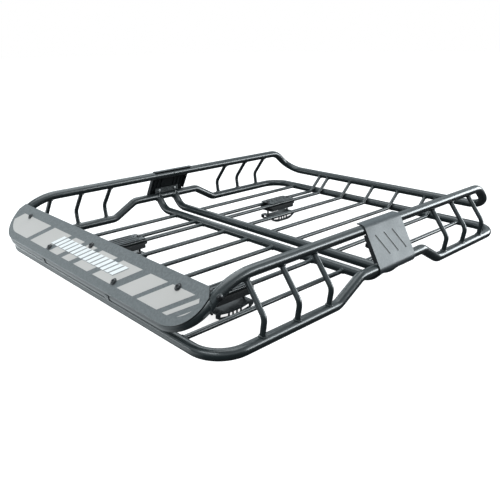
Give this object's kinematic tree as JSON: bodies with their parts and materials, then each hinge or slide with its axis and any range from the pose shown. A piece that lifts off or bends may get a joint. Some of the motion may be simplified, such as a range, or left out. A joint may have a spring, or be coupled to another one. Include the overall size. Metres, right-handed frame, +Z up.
{
  "type": "roof cargo basket",
  "caption": "Tube-framed roof cargo basket in two bolted halves, with a sloping front air panel, side covers over the joint and sliding crossbar clamps.",
  "frame": {"origin": "on the split between the two halves, within 3 mm of the middle of the outline seen from above, at the undersides of the clamp jaws", "axes": "+X to the vehicle's left, -Y to the vehicle's front, where the panel is, +Z up"},
  "size_m": [1.1226, 1.3831, 0.2424],
  "materials": {
    "frame_steel": "satin powder coat",
    "panel": "satin powder coat",
    "black_screw": "black oxide",
    "cover": "semi-gloss powder coat",
    "zinc_bolt": "zinc plated",
    "clamp_steel": "satin powder coat",
    "block": "moulded, matte"
  },
  "bodies": {
    "basket": {"lower_rail_front": "frame_steel", "upper_rail_front": "frame_steel", "mid_cross_tube_front": "frame_steel", "floor_rod_front_centre": "frame_steel", "floor_rod_front_outer_right": "frame_steel", "floor_rod_front_outer_left": "frame_steel", "floor_rod_front_pair_outer_right": "frame_steel", "floor_rod_front_pair_outer_left": "frame_steel", "floor_rod_front_pair_inner_right": "frame_steel", "floor_rod_front_pair_inner_left": "frame_steel", "floor_rod_front_inner_right": "frame_steel", "floor_rod_front_inner_left": "frame_steel", "lower_rail_rear": "frame_steel", "upper_rail_rear": "frame_steel", "mid_cross_tube_rear": "frame_steel", "floor_rod_rear_centre": "frame_steel", "floor_rod_rear_outer_right": "frame_steel", "floor_rod_rear_outer_left": "frame_steel", "floor_rod_rear_pair_outer_right": "frame_steel", "floor_rod_rear_pair_outer_left": "frame_steel", "floor_rod_rear_pair_inner_right": "frame_steel", "floor_rod_rear_pair_inner_left": "frame_steel", "floor_rod_rear_inner_right": "frame_steel", "floor_rod_rear_inner_left": "frame_steel", "front_panel": "panel", "panel_screw_rear_right": "black_screw", "panel_screw_rear_centre": "black_screw", "panel_screw_rear_left": "black_screw", "panel_screw_front_right": "black_screw", "panel_screw_front_left": "black_screw", "panel_clip_right": "frame_steel", "panel_clip_left": "frame_steel", "side_cover_right": "cover", "side_cover_left": "cover", "cover_bracket_right": "frame_steel", "cover_bracket_left": "frame_steel", "cover_bolt_front_right": "zinc_bolt", "cover_bolt_front_left": "zinc_bolt", "cover_bolt_rear_right": "zinc_bolt", "cover_bolt_rear_left": "zinc_bolt"},
    "clamp_front_right": {"clamp_front_right_top_plate": "clamp_steel", "clamp_front_right_block": "block", "clamp_front_right_front_bolt": "black_screw", "clamp_front_right_rear_bolt": "black_screw"},
    "jaw_front_right": {"clamp_front_right_jaw": "clamp_steel"},
    "clamp_front_left": {"clamp_front_left_top_plate": "clamp_steel", "clamp_front_left_block": "block", "clamp_front_left_front_bolt": "black_screw", "clamp_front_left_rear_bolt": "black_screw"},
    "jaw_front_left": {"clamp_front_left_jaw": "clamp_steel"},
    "clamp_rear_right": {"clamp_rear_right_top_plate": "clamp_steel", "clamp_rear_right_block": "block", "clamp_rear_right_front_bolt": "black_screw", "clamp_rear_right_rear_bolt": "black_screw"},
    "jaw_rear_right": {"clamp_rear_right_jaw": "clamp_steel"},
    "clamp_rear_left": {"clamp_rear_left_top_plate": "clamp_steel", "clamp_rear_left_block": "block", "clamp_rear_left_front_bolt": "black_screw", "clamp_rear_left_rear_bolt": "black_screw"},
    "jaw_rear_left": {"clamp_rear_left_jaw": "clamp_steel"}
  },
  "joints": [
    {"name": "clamp_front_right_slide", "type": "slide", "parent": "basket", "child": "clamp_front_right", "axis": [0, 1, 0], "range_m": [-0.12, 0.12]},
    {"name": "jaw_front_right_lift", "type": "slide", "parent": "clamp_front_right", "child": "jaw_front_right", "axis": [0, 0, 1], "range_m": [0, 0.016]},
    {"name": "clamp_front_left_slide", "type": "slide", "parent": "basket", "child": "clamp_front_left", "axis": [0, 1, 0], "range_m": [-0.12, 0.12]},
    {"name": "jaw_front_left_lift", "type": "slide", "parent": "clamp_front_left", "child": "jaw_front_left", "axis": [0, 0, 1], "range_m": [0, 0.016]},
    {"name": "clamp_rear_right_slide", "type": "slide", "parent": "basket", "child": "clamp_rear_right", "axis": [0, 1, 0], "range_m": [-0.12, 0.12]},
    {"name": "jaw_rear_right_lift", "type": "slide", "parent": "clamp_rear_right", "child": "jaw_rear_right", "axis": [0, 0, 1], "range_m": [0, 0.016]},
    {"name": "clamp_rear_left_slide", "type": "slide", "parent": "basket", "child": "clamp_rear_left", "axis": [0, 1, 0], "range_m": [-0.12, 0.12]},
    {"name": "jaw_rear_left_lift", "type": "slide", "parent": "clamp_rear_left", "child": "jaw_rear_left", "axis": [0, 0, 1], "range_m": [0, 0.016]}
  ]
}
